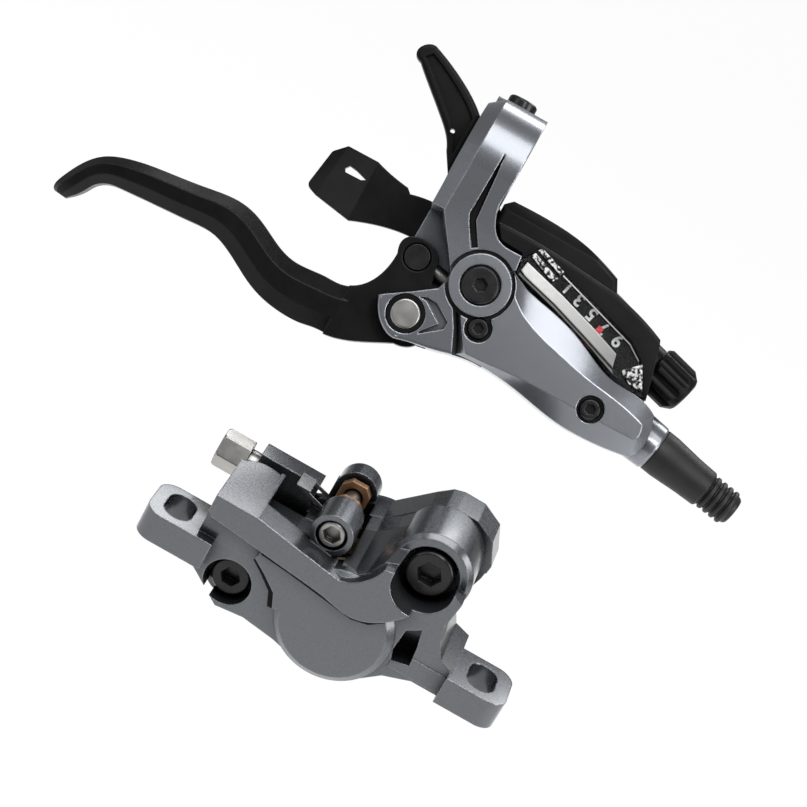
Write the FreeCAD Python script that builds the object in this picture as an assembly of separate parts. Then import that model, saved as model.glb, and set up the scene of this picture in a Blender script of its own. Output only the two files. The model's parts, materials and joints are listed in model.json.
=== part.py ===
import FreeCAD, Part
import math
import os
from FreeCAD import Placement, Rotation, Vector

# A bicycle's hydraulic disc brake: the right-hand brake lever, with its master cylinder
# and the gear shifter that shares its clamp, and the two-piston caliper for a post mount.
# The origin is the handlebar's axis in the middle of the clamp.
# The lever unit is drawn in its own plane: u along the bar, v across it, w out of the
# plane towards the rider's eye. It is then turned about the bar.

# Handlebar clamp
bar_r = 11.1
bar_clearance = 0.5
clamp_wall = 3.2
clamp_left = -6.75
clamp_right = 7.5
facet_u = -3.15
facet_drop = 2.8
lever_turn = 65.0
lug_half = 5.5
lug_depth = 19.3
lug_low = -8.0
lug_high = 14.2
slit = 1.6
clamp_bolt_r = 2.5
clamp_bolt_w = -15.2
bolt_head_r = 3.7
bolt_head_h = 4.0

# Master cylinder, its axis tilted in the lever's plane
push_u = -3.5
push_v = -28.5
bore_tilt = 9.3
bore_r = 4.5
barrel_r = 7.8
bore_from = 9.5
bore_to = 50.0
barrel_end = 71.6
port_r = 4.05
port_from = 60.0
passage_r = 1.2
piston_from = 13.0
piston_length = 22.0
master_gap = 0.05
piston_neck_r = 3.2
seal_width = 2.2
rod_r = 2.0
rod_from = 3.9
rod_waist = 9.1
ball_at = 15.2
ball_r = 2.1
ball_hole_r = 0.5
cup_gap = 0.3
ring_at = 11.0
ring_thick = 0.9

# Heights in the lever unit
cover_seat = 8.4
cover_top = 11.6
reservoir_floor = 5.9
slot_half = 5.0
rear_face = -8.8
arm_round = 0.7

# Lever blade and its pivot
pivot_u = 0.65
pivot_v = -41.5
pin_r = 2.5
bush_wall = 0.9
pin_gap = 0.04
pin_cap_r = 3.6
pin_cap_h = 1.4
blade_half = 4.6
lug_barrel_r = 3.4
lug_barrel_gap = 0.05

# Screws in the cover and the bleed port
bleed_u = 12.5
bleed_v = -27.4
bleed_head_r = 4.5
bleed_boss_r = 7.3
bleed_shank_r = 2.5
cover_groove = 0.9
cover_screw_places = ((17.0, -36.3), (48.6, -39.8))
cover_screw_head_r = 2.6
cover_screw_r = 1.5
screw_recess_r = 3.3

# Hose end of the lever
gland_r = 4.0
hose_r = 2.5
hose_gap = 0.05
boot_r = 5.5
boot_length = 23.5
boot_rib_count = 4

# Gear shifter
bracket_u = 17.5
bracket_v = -36.2
bracket_screw_r = 2.0
bracket_tip = -5.6
case_top = -9.0
case_floor = -19.0
case_wall = 1.8
case_round = 1.2
tower_bevel = 0.8
tower_rim_v = -16.5
axle_u = 24.0
axle_v = -24.5
axle_r = 3.0
axle_gap = 0.06
base_thick = 1.2
arm_thick = 2.4
arm_space = 0.8
cover_thick = 2.2
spring_from = 31.4
spring_to = 42.8
spring_v = -22.6
spool_r = 9.0
spool_height = 5.0
ratchet_r = 10.2
ratchet_thick = 1.6
ratchet_teeth = 18
window_floor = 1.0
lens_low = 4.2
lens_high = 7.0
lens_bar_rise = 0.7
pad_rise = 1.2
pad_round = 0.8
paddle_round = 1.6
dial_tilt = 15.0
needle_u = 41.6
needle_v = -23.1
adjuster_u = 57.6
adjuster_v = -22.7
adjuster_w = -6.0
adjuster_r = 6.0
adjuster_length = 10.6
adjuster_flutes = 10
adjuster_shank_r = 3.0
cable_r = 2.1

# Caliper, drawn with its mounting plane at z = 0 and its bolts along z
caliper_place = Vector(17.0, -88.5, -71.9)
mount_spacing = 74.0
mount_slot_w = 6.6
mount_slot_l = 10.2
ear_thick = 6.7
ear_front = -7.5
ear_back = 7.3
seam_y = 15.0
rotor_gap = 3.4
rotor_clear_r = 81.6
hub_x = 41.0
hub_z = -66.0
piston_x = 3.75
piston_z = -3.9
caliper_piston_r = 11.0
caliper_piston_gap = 0.05
caliper_piston_h = 11.2
piston_wall = 2.2
housing_wall = 2.4
front_face = -6.2
back_face = 35.6
pad_friction = 2.0
pad_backing = 1.8
pad_gap = 1.4
caliper_seal_depth = 1.1
caliper_seal_width = 2.3
body_bolt_r = 3.0
right_bolt_x = 16.0
right_bolt_z = 15.3
right_head_r = 5.3
right_recess_r = 6.7
right_boss_r = 9.4
shoulder_y = 8.0
recess_y = 2.0
left_bolt_x = -20.5
left_bolt_z = -7.7
left_head_r = 4.5
left_boss_r = 6.5
pad_axle_x = -6.0
pad_axle_z = 12.8
pad_axle_r = 1.9
pad_axle_key = 3.6
pad_axle_head_r = 3.2
port_x = 12.0
port_z = 20.2
port_hole_r = 1.0
port_ring_r = 2.2
port_ring_half = 0.6
nipple_x = 20.5
nipple_z = 7.5
nipple_seat = 27.5
nut_y = 22.0
nut_z = 6.0
nut_flats = 8.0
nut_from = -30.3
nut_length = 6.9

clamp_r = bar_r + clamp_wall
bore_axis = Vector(math.cos(math.radians(bore_tilt)), -math.sin(math.radians(bore_tilt)), 0)
bore_start = Vector(push_u, push_v, 0)
dial_axis = Vector(math.cos(math.radians(dial_tilt)), -math.sin(math.radians(dial_tilt)), 0)
bush_r = pin_r + pin_gap + bush_wall
thumb_top = case_floor - base_thick - arm_space / 2
thumb_low = thumb_top - arm_thick
release_top = thumb_low - arm_space
release_low = release_top - arm_thick
shell_low = release_low - arm_space / 2
backing_back = pad_gap + pad_friction + pad_backing
housing_r = caliper_piston_r + housing_wall
X = Vector(1, 0, 0)
Y = Vector(0, 1, 0)
Z = Vector(0, 0, 1)


def edge(points, w):
    corners = [Vector(u, v, w) for u, v in points]
    if len(corners) == 2:
        return Part.LineSegment(corners[0], corners[1]).toShape()
    curve = Part.BSplineCurve()
    curve.interpolate(corners)
    return curve.toShape()


def outline(runs, w):
    return Part.Wire([edge(run, w) for run in runs])


def slab(runs, low, high):
    return Part.Face(outline(runs, low)).extrude(Vector(0, 0, high - low))


def plate(points, low, high):
    corners = [Vector(u, v, low) for u, v in points]
    face = Part.Face(Part.makePolygon(corners + corners[:1]))
    return face.extrude(Vector(0, 0, high - low))


# The same plate with its outline moved outwards, or inwards where the amount is negative
def grown_plate(points, amount, low, high):
    corners = [Vector(u, v, low) for u, v in points]
    face = Part.Face(Part.makePolygon(corners + corners[:1])).makeOffset2D(amount)
    return face.extrude(Vector(0, 0, high - low))


# The edges of a slab's top face whose middle lies above a given v
def top_rim(shape, top, above=-99):
    return [e for e in shape.Edges if abs(e.BoundBox.ZMin - top) < 0.01 and e.CenterOfMass.y > above]


def rod(centre, axis, radius, length):
    return Part.makeCylinder(radius, length, centre, axis)


def post(u, v, radius, low, high):
    return Part.makeCylinder(radius, high - low, Vector(u, v, low), Z)


def block(u0, u1, v0, v1, w0, w1):
    return Part.makeBox(u1 - u0, v1 - v0, w1 - w0, Vector(u0, v0, w0))


# A turned solid: pairs of distance along the axis and radius, closed on the axis
def turned(profile, origin, axis):
    points = [(profile[0][0], 0.0)] + list(profile) + [(profile[-1][0], 0.0)]
    corners = [Vector(s, r, 0) for s, r in points]
    clean = [corners[0]]
    for corner in corners[1:]:
        if corner.distanceToPoint(clean[-1]) > 1e-6:
            clean.append(corner)
    face = Part.Face(Part.makePolygon(clean + clean[:1]))
    solid = face.revolve(Vector(0, 0, 0), X, 360)
    solid.Placement = Placement(origin, Rotation(X, axis))
    return solid


def hexagon(flats, origin, axis, length):
    reach = flats / math.sqrt(3)
    corners = [Vector(0, reach * math.cos(math.radians(60 * k)), reach * math.sin(math.radians(60 * k)))
               for k in range(6)]
    solid = Part.Face(Part.makePolygon(corners + corners[:1])).extrude(Vector(length, 0, 0))
    solid.Placement = Placement(origin, Rotation(X, axis))
    return solid


def tube(origin, axis, outer, inner, length):
    return rod(origin, axis, outer, length).cut(rod(origin, axis, inner, length))


# A spring of six-sided wire
def coil(origin, axis, radius, wire_r, pitch, length):
    path = Part.makeHelix(pitch, length, radius)
    corners = [Vector(radius + wire_r * math.cos(math.radians(60 * k)), 0, wire_r * math.sin(math.radians(60 * k)))
               for k in range(6)]
    section = Part.makePolygon(corners + corners[:1])
    solid = Part.Wire(path).makePipeShell([section], True, True)
    solid.Placement = Placement(origin, Rotation(Z, axis))
    return solid


def on_bore(s):
    return bore_start + bore_axis * s


def fused(shapes):
    first = shapes[0]
    return first.multiFuse(shapes[1:]).removeSplitter()


def head_with_socket(origin, axis, radius, height, socket):
    rim = min(0.5, height / 3)
    head = turned([(0, radius), (height - rim, radius), (height, radius - rim)], origin, axis)
    return head.cut(hexagon(socket, origin + axis * (height * 0.4), axis, height))


# Outlines of the lever unit
cover_lower = [(15.4, -43.9), (22.4, -43.5), (32.3, -44.5), (42.2, -46.2), (52.2, -46.3), (61.8, -45.0)]
cover_right = [(61.8, -45.0), (63.6, -41.0), (63.3, -37.0), (62.2, -33.7)]
cover_upper = [(62.2, -33.7), (58.8, -32.2), (49.8, -31.4), (39.8, -27.5), (29.8, -24.4), (20.0, -21.9),
               (18.2, -20.9)]
crease_lower = [(17.2, -42.8), (22.2, -42.5), (29.6, -41.7), (44.3, -41.4), (54.1, -41.2), (60.6, -41.0)]
crease_right = [(60.6, -41.0), (61.2, -39.8), (61.1, -38.4), (60.6, -37.0)]
crease_upper = [(60.6, -37.0), (54.1, -35.4), (44.3, -34.0), (36.8, -32.4), (29.6, -30.6), (24.0, -28.2),
                (19.3, -24.2)]
seam_line = [(7.7, -30.6), (10.4, -35.0), (12.9, -39.0), (15.4, -43.9)]


def cover_outline():
    return [cover_lower, cover_right, cover_upper, [cover_upper[-1], (bleed_u, bleed_v)],
            [(bleed_u, bleed_v), seam_line[0]], seam_line]


def reservoir_pocket():
    return [(22.6, -29.8), (43.6, -35.4), (43.6, -40.4), (22.6, -40.4)]


# The cast block under the cover, which the shifter's tower lies against
def housing_block(low, high):
    return slab([cover_lower, cover_right, cover_upper[:-1] + [(18.0, -20.9)],
                 [(18.0, -20.9), (10, -21)], [(10, -21), (10, -43)], [(10, -43), (15.4, -43.9)]], low, high)


def clear_of_housing(shape):
    return shape.cut(housing_block(-slot_half, cover_seat)).cut(rod(on_bore(0), bore_axis, barrel_r, 64))


def lever_body():
    ring = rod(Vector(facet_u, 0, 0), X, clamp_r, clamp_right - facet_u)
    taper = Part.makeCone(clamp_r - facet_drop, clamp_r, facet_u - clamp_left, Vector(clamp_left, 0, 0), X)
    lugs = block(-lug_half, lug_half, lug_low, lug_high, -lug_depth, 0)
    front = slab([[(-6.6, 0), (-6.6, -15)], [(-6.6, -15), (-6.9, -40.75)],
                  [(-6.9, -40.75), (-5.4, -43.8), (-3.5, -46), (-1, -47.5), (1, -47.8)],
                  [(1, -47.8), (5, -46.75), (10, -45.75), (15.75, -44.25), (22, -43.7)],
                  [(22, -43.7), (22, -22.5)], [(22, -22.5), (18, -20.8)], [(18, -20.8), (17.5, -16.9)],
                  [(17.5, -16.9), (15.2, -17.0), (12.1, -16.7), (9.9, -15.3), (8.1, -12.4), (7.3, -9.6),
                   (clamp_right, -6.0)], [(clamp_right, -6.0), (clamp_right, 0)],
                  [(clamp_right, 0), (-6.6, 0)]], rear_face, clamp_r)
    # its thickness, from the side
    crown = Part.BSplineCurve()
    crown.interpolate([Vector(-10, v, w) for v, w in ((0, clamp_r), (-8, 13.1), (-16, 11.9), (-24, 11.4),
                                                       (-36, 11.0), (-49, 10.4))])
    rear = Part.makePolygon([Vector(-10, v, w) for v, w in ((-49, 10.4), (-49, -7.6), (-41, rear_face),
                                                             (0, rear_face), (0, clamp_r))])
    profile = Part.Face(Part.Wire([crown.toShape()] + rear.Edges)).extrude(Vector(40, 0, 0))
    arm = front.common(profile)
    facet = []
    for v, crest in ((0.5, clamp_r), (-17.0, 11.8)):
        slope = facet_drop / (facet_u - clamp_left)
        corners = [Vector(facet_u, v, crest), Vector(facet_u, v, crest + 4), Vector(facet_u - 6, v, crest + 4),
                   Vector(facet_u - 6, v, crest - 6 * slope)]
        facet.append(Part.makePolygon(corners + corners[:1]))
    arm = arm.cut(Part.makeLoft(facet, True, True))
    rim = [e for e in arm.Edges if min(v.Z for v in e.Vertexes) > 9.9 and e.BoundBox.YMin < -21
           and e.BoundBox.YMax < -16 and e.BoundBox.XMin < 17 and e.BoundBox.XLength + e.BoundBox.YLength > 1.0]
    arm = arm.makeFillet(arm_round, rim)
    housing = housing_block(-slot_half, cover_seat)
    barrel = turned([(bore_from + 3, barrel_r), (58, barrel_r), (63, barrel_r - 1.6),
                     (barrel_end - 0.6, barrel_r - 2.0), (barrel_end, barrel_r - 2.4)], on_bore(0), bore_axis)
    body = fused([ring, taper, lugs, arm, housing, barrel])
    # the seat of the cover, with the seam round it
    seat = plate([(17, -47), (14.6, -44.6), (12.0, -39), (9.5, -35), (6.8, -30.5), (bleed_u, bleed_v),
                  (17.6, -20.6), (19, -20), (62, -31), (70, -34), (70, -47)], cover_seat, cover_seat + 8)
    body = body.cut(seat)
    boss = post(bleed_u, bleed_v, bleed_boss_r, 0, cover_top + 0.4)
    trench = tube(Vector(bleed_u, bleed_v, cover_top - 1.6), Z, bleed_boss_r + cover_groove,
                  bleed_boss_r, 6)
    body = body.cut(trench).fuse(boss)
    groove = plate([(2.5, 1.2), (2.9, 1.2), (4.3, -14.9), (7.8, -20.1), (6.4, -21.0), (3.2, -16.2),
                    (2.2, -14.3)], 10.9, 16)
    body = body.cut(groove)
    crescent = [(1.5, -36.6), (3.4, -35.8), (5.9, -35.9), (8.5, -37.5), (10.2, -38.6), (10.1, -40.4),
                (5.4, -44.2), (5.4, -43.6), (8.4, -39.8), (5.7, -38.0), (3.5, -36.6)]
    body = body.cut(plate(crescent, 10.0, 16))
    # the bay that shows the blade's lug, and the slot that the blade swings in
    bay = plate([(-9, -16.2), (-3.5, -16.2), (0, -21), (5, -28), (5.2, -30), (4.5, -32.7), (0, -36),
                 (-6.9, -40.75), (-9, -40.75)], -slot_half, 20)
    slot_right = pivot_u + 7.95
    slot = block(-12, slot_right, -60, -22, -slot_half, slot_half)
    body = body.cut(bay).cut(slot)
    body = body.cut(rod(Vector(clamp_left - 1, 0, 0), X, bar_r, clamp_right - clamp_left + 2))
    body = body.cut(block(-lug_half - 1, lug_half + 1, 2.2 - slit / 2, 2.2 + slit / 2, -25, -bar_r + 1))
    body = body.cut(rod(Vector(0, lug_low - 1, clamp_bolt_w), Y, clamp_bolt_r, 40))
    body = body.cut(post(pivot_u, pivot_v, pin_r + 0.02, -20, 20))
    body = body.cut(post(pivot_u, pivot_v, pin_cap_r + 1.05, 9.6, 20))
    # inside the master cylinder
    body = body.cut(rod(on_bore(bore_from - 3), bore_axis, bore_r, bore_to - bore_from + 3))
    body = body.cut(Part.makeCone(bore_r, passage_r, 3, on_bore(bore_to), bore_axis))
    body = body.cut(rod(on_bore(bore_to), bore_axis, passage_r, port_from - bore_to))
    body = body.cut(rod(on_bore(port_from), bore_axis, port_r, barrel_end - port_from + 1))
    body = body.cut(tube(on_bore(ring_at), bore_axis, bore_r + 0.8, bore_r - 0.1, ring_thick))
    body = body.cut(plate(reservoir_pocket(), reservoir_floor, cover_seat + 1))
    body = body.cut(grown_plate(reservoir_pocket(), 1.4, cover_seat - 0.8, cover_seat + 1))
    for u in (29.5, 36.5):
        body = body.cut(post(u, push_v - (u - push_u) * math.tan(math.radians(bore_tilt)), 0.6, 0, 7))
    body = body.cut(post(bleed_u, bleed_v, bleed_head_r + 0.3, cover_top - 1.6, 20))
    body = body.cut(post(bleed_u, bleed_v, bleed_shank_r, 5.0, 20))
    body = body.cut(post(bleed_u, bleed_v, 0.9, 1.5, 6))
    for u, v in cover_screw_places:
        body = body.cut(post(u, v, cover_screw_r, 4.9, 20))
    body = body.cut(post(bracket_u, bracket_v, bracket_screw_r, rear_face - 1, bracket_tip))
    return body


def reservoir_cover():
    rim = slab(cover_outline(), cover_seat, cover_seat + 1.0)
    low = outline(cover_outline(), cover_seat + 1.0)
    top_runs = [crease_lower, crease_right, crease_upper, [crease_upper[-1], (13.2, -28.9)],
                [(13.2, -28.9), (9.1, -31.2)], [(9.1, -31.2), (11.7, -35.2), (14.2, -39.0), (17.2, -42.8)]]
    high = outline(top_runs, cover_top)
    shell = rim.fuse(Part.makeLoft([low, high], True, True)).removeSplitter()
    shell = shell.cut(post(bleed_u, bleed_v, bleed_boss_r + cover_groove, 0, 20))
    shell = shell.cut(plate([(14.6, -31.6), (16.8, -30.2), (19.6, -34.6), (15.6, -35.2)], cover_seat + 1.2, 20))
    shell = shell.cut(plate(reservoir_pocket(), cover_seat - 1, cover_seat + 1.7))
    for u, v in cover_screw_places:
        shell = shell.cut(post(u, v, screw_recess_r, cover_seat + 1.2, 20))
        shell = shell.cut(post(u, v, cover_screw_r + 0.15, 0, 20))
    return shell


def diaphragm():
    flange = grown_plate(reservoir_pocket(), 1.3, cover_seat - 0.8, cover_seat)
    bellows = grown_plate(reservoir_pocket(), -0.5, cover_seat - 1.9, cover_seat - 0.8)
    hollow = grown_plate(reservoir_pocket(), -1.3, cover_seat - 1.2, cover_seat + 1)
    return flange.fuse(bellows).cut(hollow)


def cover_screws():
    screws = []
    for u, v in cover_screw_places:
        low = cover_seat + 1.2
        head = head_with_socket(Vector(u, v, low), Z, cover_screw_head_r, 1.9, 2.4)
        screws.append(head.fuse(post(u, v, cover_screw_r, 5.2, low)))
    return Part.makeCompound(screws)


def bleed_screw():
    low = cover_top - 1.6
    head = head_with_socket(Vector(bleed_u, bleed_v, low), Z, bleed_head_r, 2.6, 3.0)
    return head.fuse(post(bleed_u, bleed_v, bleed_shank_r, 5.3, low))


def master_piston():
    radius = bore_r - master_gap
    front = piston_from + piston_length
    first = piston_from + 6.4
    second = front - 4.6
    neck = piston_neck_r
    profile = [(piston_from, radius - 0.4), (piston_from + 0.4, radius), (first, radius), (first, neck),
               (first + seal_width, neck), (first + seal_width, radius), (first + 4.2, radius),
               (first + 5.2, neck - 0.3), (second - 2.6, neck - 0.3), (second - 1.6, radius),
               (second, radius), (second, neck), (second + seal_width, neck),
               (second + seal_width, radius), (front, radius), (front, 2.4), (front + 2.2, 2.4)]
    body = turned(profile, on_bore(0), bore_axis)
    body = body.cut(Part.makeSphere(ball_r + cup_gap, on_bore(ball_at)))
    mouth = Part.makeCone(3.7, ball_r + cup_gap - 0.1, ball_at - piston_from, on_bore(piston_from), bore_axis)
    return body.cut(mouth)


def piston_seals():
    front = piston_from + piston_length
    seals = []
    for s in (piston_from + 6.4, front - 4.6):
        seals.append(tube(on_bore(s), bore_axis, bore_r - master_gap, piston_neck_r, seal_width))
    return Part.makeCompound(seals)


def piston_return_spring():
    front = piston_from + piston_length
    return coil(on_bore(front + 0.6), bore_axis, 3.4, 0.45, 3.2, bore_to - front - 1.6)


def retaining_ring():
    ring = tube(on_bore(ring_at), bore_axis, bore_r + 0.8, bore_r - 1.1, ring_thick)
    gap = block(-0.9, 0.9, 0, 9, -9, 9)
    gap.Placement = Placement(on_bore(ring_at), Rotation(Z, -bore_tilt))
    return ring.cut(gap)


def push_rod():
    stem = rod(on_bore(rod_from), bore_axis, rod_r, ball_at - rod_from)
    stem = stem.cut(tube(on_bore(rod_waist), bore_axis, rod_r + 1, rod_r - 0.5, ball_at - rod_waist))
    ball = Part.makeSphere(ball_r, on_bore(ball_at))
    return stem.fuse(ball).cut(rod(on_bore(ball_at) - Z * 3, Z, ball_hole_r, 6))


# One cross-section of the blade, with a crease below its top edge
def blade_section(top, bottom, half):
    high = Vector(top[0], top[1], 0)
    low = Vector(bottom[0], bottom[1], 0)
    shape = ((0.0, 0.42), (0.3, 1.0), (0.68, 0.94), (1.0, 0.46), (1.0, -0.46), (0.68, -0.94),
             (0.3, -1.0), (0.0, -0.42))
    corners = [high + (low - high) * share + Z * (half * side) for share, side in shape]
    return Part.makePolygon(corners + corners[:1])


def brake_lever():
    stations = (((-85.4, -56.6), (-82.3, -56.9), 2.0), ((-86.0, -55.2), (-81.0, -55.6), 3.6),
                ((-85.0, -52.3), (-79.2, -53.4), 4.8), ((-82.6, -47.8), (-77.7, -50.9), 5.2),
                ((-79.0, -44.0), (-75.2, -49.2), 5.4), ((-73.4, -41.6), (-71.8, -48.6), 5.6),
                ((-65.0, -40.0), (-64.3, -48.0), 5.8), ((-55.0, -38.6), (-54.5, -47.3), 5.8),
                ((-46.6, -37.5), (-47.4, -47.3), 5.8), ((-40.0, -38.8), (-41.0, -49.9), 5.8),
                ((-34.6, -41.4), (-35.8, -52.7), 5.7), ((-28.4, -43.4), (-29.4, -54.9), 5.4),
                ((-20.0, -42.9), (-20.0, -55.3), blade_half + 0.5), ((-12.6, -41.4), (-12.0, -54.6), blade_half))
    blade = Part.makeLoft([blade_section(*station) for station in stations], True, False)
    lug_top = [(-8.0, -30.0), (-7.4, -25.2), (-3.5, -24.2), (0.9, -26.0), (1.5, -28.6)]
    root = slab([[(-14, -42.0), (-11.0, -39.7), (-9.0, -36.2), (-8.0, -30.0)], lug_top,
                 [(1.5, -28.6), (3.2, -34.8)], [(3.2, -34.8), (7.4, -39.5), (7.0, -45.4), (1.5, -48.7)],
                 [(1.5, -48.7), (-5, -52.0), (-9.5, -53.9), (-14, -54.9)], [(-14, -54.9), (-14, -42.0)]],
                -blade_half, blade_half)
    blade = blade.fuse(root).removeSplitter()
    blade = blade.cut(post(pivot_u, pivot_v, bush_r, -9, 9))
    blade = blade.cut(post(push_u, push_v, lug_barrel_r, -9, 9))
    mouth = plate([(push_u, push_v + 4.6), (6, push_v + 5.6), (6, push_v - 5.2), (push_u, push_v - 3.6)],
                  -2.6, 2.6)
    return blade.cut(mouth)


def reach_barrel():
    radius = lug_barrel_r - lug_barrel_gap
    return turned([(0, radius), (2 * blade_half - 0.4, radius), (2 * blade_half, radius - 0.4)],
                  Vector(push_u, push_v, -blade_half), Z)


def pivot_bush():
    return tube(Vector(pivot_u, pivot_v, -blade_half), Z, bush_r, pin_r + pin_gap, 2 * blade_half)


def pivot_pin():
    shank = post(pivot_u, pivot_v, pin_r, -9.6, 9.6)
    cap = turned([(0, pin_cap_r), (pin_cap_h - 0.4, pin_cap_r), (pin_cap_h, pin_cap_r - 0.4)],
                 Vector(pivot_u, pivot_v, 9.6), Z)
    return shank.fuse(cap)


def pin_washer():
    return tube(Vector(pivot_u, pivot_v, 9.6), Z, pin_cap_r + 1.0, pin_cap_r + 0.02, 0.9)


def pin_clip():
    return tube(Vector(pivot_u, pivot_v, -9.5), Z, pin_r + 1.6, pin_r, 0.7)


def clamp_bolt():
    shank = rod(Vector(0, lug_low + 0.8, clamp_bolt_w), Y, clamp_bolt_r, lug_high - lug_low - 0.8)
    head = head_with_socket(Vector(0, lug_high, clamp_bolt_w), Y, bolt_head_r, bolt_head_h, 4.0)
    return shank.fuse(head)


def gland_nut():
    start = port_from + 4.6
    grip = barrel_end
    body = rod(on_bore(start), bore_axis, gland_r, grip - start + 0.5)
    body = body.fuse(hexagon(7.8, on_bore(grip), bore_axis, 6.0))
    return body.cut(rod(on_bore(start - 1), bore_axis, hose_r + hose_gap, 20))


def compression_olive():
    start = port_from + 0.8
    profile = [(0, 2.6), (1.4, port_r - 0.1), (2.4, port_r - 0.1), (3.7, 2.8)]
    return turned(profile, on_bore(start), bore_axis).cut(rod(on_bore(start - 1), bore_axis, 2.2, 6))


def hose_boot():
    start = barrel_end + 0.02
    ribs = []
    rib_start = boot_length - 7.8
    pitch = 7.0 / boot_rib_count
    for k in range(boot_rib_count):
        s = rib_start + k * pitch
        ribs += [(s, 3.7), (s + 0.35, 4.4), (s + pitch - 0.6, 4.35), (s + pitch - 0.3, 3.7)]
    profile = [(0, boot_r), (3, boot_r), (10, 4.9), (rib_start - 0.8, 4.7)] + ribs
    profile += [(boot_length - 0.6, 3.6), (boot_length, 3.2)]
    boot = turned(profile, on_bore(start), bore_axis)
    boot = boot.cut(rod(on_bore(start - 1), bore_axis, 4.55, 8.2))
    return boot.cut(rod(on_bore(start), bore_axis, hose_r + hose_gap, boot_length + 1))


# The shifter's case: the mechanism's box behind the brake, and the tower of the gear display
case_outline = [[(8.0, -15.0), (8.0, -6.4)], [(8.0, -6.4), (9.8, -4.6)],
                [(9.8, -4.6), (20.6, -4.4), (30.0, -5.4), (35.0, -6.7), (40.4, -8.6)], [(40.4, -8.6), (42.0, -11.6)],
                [(42.0, -11.6), (49.0, -13.7), (56.0, -16.4)], [(56.0, -16.4), (58.4, -23.0), (60.4, -31.2)],
                [(60.4, -31.2), (56, -40.0), (44, -43.0)], [(44, -43.0), (18, -42.6)],
                [(18, -42.6), (10.6, -38.0), (9.0, -30)], [(9.0, -30), (8.0, -15.0)]]
case_inside = [[(11.2, -15.0), (11.2, -6.6)], [(11.2, -6.6), (20.6, -6.4), (30.0, -7.4), (39.0, -10.0)],
               [(39.0, -10.0), (40.6, -13.2)], [(40.6, -13.2), (54.4, -18.0)],
               [(54.4, -18.0), (56.2, -23.2), (58.2, -30.8)], [(58.2, -30.8), (54.8, -38.3), (43.6, -41.0)],
               [(43.6, -41.0), (18.6, -40.6)], [(18.6, -40.6), (12.6, -36.9), (11.2, -30)],
               [(11.2, -30), (11.2, -15.0)]]
tower_outline = [[(8.9, -13.2), (8.9, -12.0)], [(8.9, -12.0), (20.0, -11.7), (30.0, -12.2), (40.0, -13.0)],
                 [(40.0, -13.0), (49.0, -15.0), (55.4, -17.4)], [(55.4, -17.4), (57.8, -25.4), (59.3, -31.6)],
                 [(59.3, -31.6), (54, -31.6)], [(54, -31.6), (49.6, -30.9), (39.8, -27.0), (29.8, -23.9),
                 (20.0, -21.4), (18.3, -20.6)], [(18.3, -20.6), (17.5, -16.4)],
                 [(17.5, -16.4), (11.2, -16.1)], [(11.2, -16.1), (8.9, -13.2)]]
window_outline = [(18.6, -17.2), (20.8, -13.3), (29.7, -15.9), (39.5, -18.6), (49.4, -21.5), (53.4, -24.1),
                  (57.8, -30.9), (53.6, -31.0), (49.7, -30.2), (39.8, -26.3), (29.8, -23.3), (20.0, -20.8),
                  (18.9, -20.2)]
lens_outline = [(18.0, -17.0), (20.4, -12.8), (29.8, -15.5), (39.7, -18.2), (49.6, -21.1), (53.7, -23.9),
                (58.8, -31.4), (53.7, -31.5), (49.7, -30.7), (39.8, -26.8), (29.8, -23.7), (20.0, -21.2),
                (18.3, -20.4)]


def shifter_case():
    box = slab(case_outline, case_floor, case_top)
    box = box.makeFillet(case_round, top_rim(box, case_top))
    box = box.cut(slab(case_inside, case_floor - 1, case_top - case_wall))
    tower = slab(tower_outline, case_top - 2, lens_low + 0.6)
    tower = tower.makeChamfer(tower_bevel, top_rim(tower, lens_low + 0.6, tower_rim_v))
    tower = clear_of_housing(tower)
    case = box.fuse(tower).removeSplitter()
    case = case.cut(plate(window_outline, window_floor, 20))
    case = case.cut(plate(lens_outline, lens_low, 20))
    hollow = grown_plate(window_outline, -1.2, case_top + 1.6, window_floor - 1.2)
    case = case.cut(hollow)
    # the socket of the barrel adjuster, on the right end
    start = Vector(adjuster_u, adjuster_v, adjuster_w)
    socket = rod(start - dial_axis * 6, dial_axis, 4.6, 6)
    case = case.fuse(socket)
    case = case.cut(rod(start - dial_axis * 5, dial_axis, adjuster_shank_r + 0.08, 12))
    case = case.cut(rod(start - dial_axis * 8, dial_axis, 1.0, 12))
    case = case.cut(rod(start, dial_axis, adjuster_r + 0.6, 20))
    case = case.cut(post(bracket_u, bracket_v, bracket_screw_r + 0.15, -30, 0))
    ring = post(axle_u, axle_v, 4.6, -14.2 + 2.8, case_top - 0.5)
    case = case.fuse(ring)
    case = case.cut(rod(Vector(0, 0, 0), X, bar_r + bar_clearance, 80))
    return case.cut(post(axle_u, axle_v, axle_r, -30, case_top - 0.6))


def bracket_screw():
    head_low = case_top - case_wall - 2.4
    head = head_with_socket(Vector(bracket_u, bracket_v, head_low + 2.4), -Z, 3.0, 2.4, 2.5)
    return head.fuse(post(bracket_u, bracket_v, bracket_screw_r, head_low + 2.4, bracket_tip))


def shift_axle():
    head = turned([(0, 4.6), (0.9, 4.6), (1.4, 4.1)], Vector(axle_u, axle_v, shell_low - cover_thick), -Z)
    shank = post(axle_u, axle_v, axle_r, shell_low - cover_thick, case_top - 0.6)
    return shank.fuse(head)


def base_plate():
    base = slab(case_outline, case_floor - base_thick, case_floor)
    return base.cut(post(axle_u, axle_v, axle_r, -30, 0))


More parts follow.
